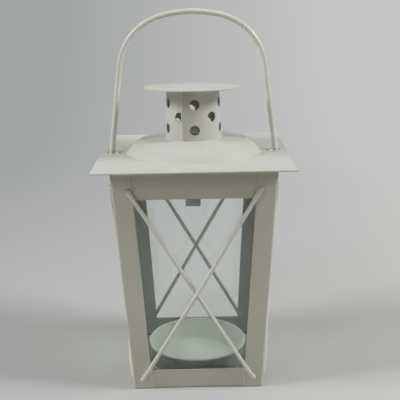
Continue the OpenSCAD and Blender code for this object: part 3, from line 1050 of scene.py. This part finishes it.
def lay_floor():
    """One sheet that lies flat and sweeps up behind the lantern"""
    stage = settings("stage")
    half = stage.floor_size / 2
    back_edge = stage.wall_distance - half / 100
    deselect_all()
    bpy.ops.mesh.primitive_plane_add(
        size=stage.floor_size, location=(0, stage.wall_distance - half, 0))
    floor = bpy.context.active_object
    floor.name = "floor"
    bpy.ops.object.transform_apply(location=True, rotation=True, scale=True)
    select_edges(floor, lambda first, second: min(first.y, second.y) > back_edge)
    bpy.ops.object.mode_set(mode="EDIT")
    bpy.ops.mesh.extrude_region_move(TRANSFORM_OT_translate={"value": (0, 0, half)})
    bpy.ops.object.mode_set(mode="OBJECT")
    apply_modifier(floor, "BEVEL", width=stage.sweep_radius, segments=24, limit_method="ANGLE")
    bpy.ops.object.shade_smooth()
    floor.data.materials.append(floor_material())


def floor_material():
    """Matt floor that turns to a plain backdrop further back, both with painted shade that darkens
    them towards the left
    """
    stage = settings("stage")
    material = bpy.data.materials.new("plain_floor")
    tree, shader, output = nodes_of(material)
    place = object_place(tree)
    # Painted shade: the colours darken towards the left
    across = remap(tree, axis_of(tree, place, "X"), -stage.half_fade, stage.half_fade, 0, 1)
    seen = seen_share(tree)
    near = blend_colours(tree, across, stage.floor_left, stage.floor_right)
    tree.links.new(
        blend_colours(tree, seen, stage.floor_bounce, near), shader.inputs["Base Color"])
    shader.inputs["Roughness"].default_value = 0.9
    plain = tree.nodes.new("ShaderNodeEmission")
    tree.links.new(
        blend_colours(tree, across, stage.backdrop_left, stage.backdrop_right),
        plain.inputs["Color"])
    far = remap(
        tree, axis_of(tree, place, "Y"), stage.backdrop_from, stage.backdrop_to, 0, 1)
    mix_shaders(tree, combine(tree, "MULTIPLY", far, seen), shader, plain, output)
    return material


def seen_share(tree):
    """1 for what is seen directly, in a reflection or through glass, and 0 for what lights"""
    rays = tree.nodes.new("ShaderNodeLightPath").outputs
    seen = combine(
        tree, "MAXIMUM", rays["Is Camera Ray"],
        combine(tree, "MAXIMUM", rays["Is Glossy Ray"], rays["Is Transmission Ray"]))
    return combine(tree, "MULTIPLY", seen, remap(tree, rays["Diffuse Depth"], 0, 1, 1, 0))


def hang_lamps():
    """A lamp on each side and a weak one in front, to the left"""
    stage = settings("stage")
    low, high = CAD_BOX
    level, rise = math.cos(stage.lamp_height), math.sin(stage.lamp_height)
    for name, power, turn in (
            ("left_lamp", stage.left_power, -stage.lamp_turn),
            ("right_lamp", stage.right_power, stage.lamp_turn),
            ("front_lamp", stage.front_power, stage.front_turn)):
        away = Vector((math.sin(turn) * level, -math.cos(turn) * level, rise))
        deselect_all()
        bpy.ops.object.light_add(
            type="AREA", location=(low + high) / 2 + away * stage.lamp_distance)
        light = bpy.context.active_object
        light.name = name
        light.data.energy = power
        light.data.shape = "DISK"
        light.data.size = stage.lamp_size
        light.visible_transmission = False
        light.rotation_euler = (-away).to_track_quat("-Z", "Y").to_euler()


def light_room():
    """A pale room whose light comes mostly from above"""
    stage = settings("stage")
    world = bpy.data.worlds.new("pale_room")
    bpy.context.scene.world = world
    world.use_nodes = True
    tree = world.node_tree
    light = tree.nodes["Background"]
    direction = tree.nodes.new("ShaderNodeTexCoord").outputs["Generated"]
    height = remap(tree, axis_of(tree, direction, "Z"), 0, 1, 0, 1)
    tree.links.new(
        blend_colours(tree, height, stage.wall_light, stage.ceiling_light),
        light.inputs["Color"])
    seen = tree.nodes.new("ShaderNodeBackground")
    seen.inputs["Color"].default_value = (*stage.backdrop_right, 1)
    mix_shaders(tree, seen_share(tree), light, seen, tree.nodes["World Output"])


def set_camera():
    """A camera where the photograph's stood"""
    stage = settings("stage")
    place, aim = Vector(stage.camera_place), Vector(stage.camera_aim)
    deselect_all()
    bpy.ops.object.camera_add(location=place)
    camera = bpy.context.active_object
    camera.name = "photo_camera"
    look = (aim - place).to_track_quat("-Z", "Y").to_matrix()
    camera.rotation_euler = (look @ Matrix.Rotation(stage.camera_roll, 3, "Z")).to_euler()
    camera.data.lens = stage.lens
    camera.data.sensor_width = 36
    camera.data.clip_start = 0.01
    bpy.context.scene.camera = camera


OPERATORS = (
    LANTERN_OT_body_sheets, LANTERN_OT_candle_cup, LANTERN_OT_panes, LANTERN_OT_clips,
    LANTERN_OT_cross_wires, LANTERN_OT_wire_welds, LANTERN_OT_roof, LANTERN_OT_chimney,
    LANTERN_OT_chimney_solder, LANTERN_OT_bail, LANTERN_OT_stage)
GROUPS = (
    ("paint", LanternPaint), ("edges", LanternEdges), ("wires", LanternWires),
    ("glass", LanternGlass), ("steel", LanternSteel), ("welds", LanternWelds),
    ("stage", LanternStage))


class LANTERN_PT_panel(bpy.types.Panel):
    """Steps that finish the lantern"""
    bl_idname = "LANTERN_PT_panel"
    bl_label = "Lantern"
    bl_space_type = "VIEW_3D"
    bl_region_type = "UI"
    bl_category = "Lantern"

    def draw(self, context):
        for name, group in GROUPS:
            box = self.layout.box()
            box.label(text=group.__doc__)
            for key in group.__annotations__:
                box.prop(settings(name), key)
        for operator in OPERATORS:
            self.layout.operator(operator.bl_idname)


def register():
    for name, group in GROUPS:
        bpy.utils.register_class(group)
        setattr(bpy.types.Scene, "lantern_" + name, bpy.props.PointerProperty(type=group))
    for operator in OPERATORS:
        bpy.utils.register_class(operator)
    bpy.utils.register_class(LANTERN_PT_panel)


def unregister():
    bpy.utils.unregister_class(LANTERN_PT_panel)
    for operator in reversed(OPERATORS):
        bpy.utils.unregister_class(operator)
    for name, group in reversed(GROUPS):
        delattr(bpy.types.Scene, "lantern_" + name)
        bpy.utils.unregister_class(group)


def main():
    register()
    bpy.ops.lantern.body_sheets()
    bpy.ops.lantern.candle_cup()
    bpy.ops.lantern.panes()
    bpy.ops.lantern.clips()
    bpy.ops.lantern.cross_wires()
    bpy.ops.lantern.wire_welds()
    bpy.ops.lantern.roof()
    bpy.ops.lantern.chimney()
    bpy.ops.lantern.chimney_solder()
    bpy.ops.lantern.bail()
    bpy.ops.lantern.stage()


if __name__ == "__main__":
    main()
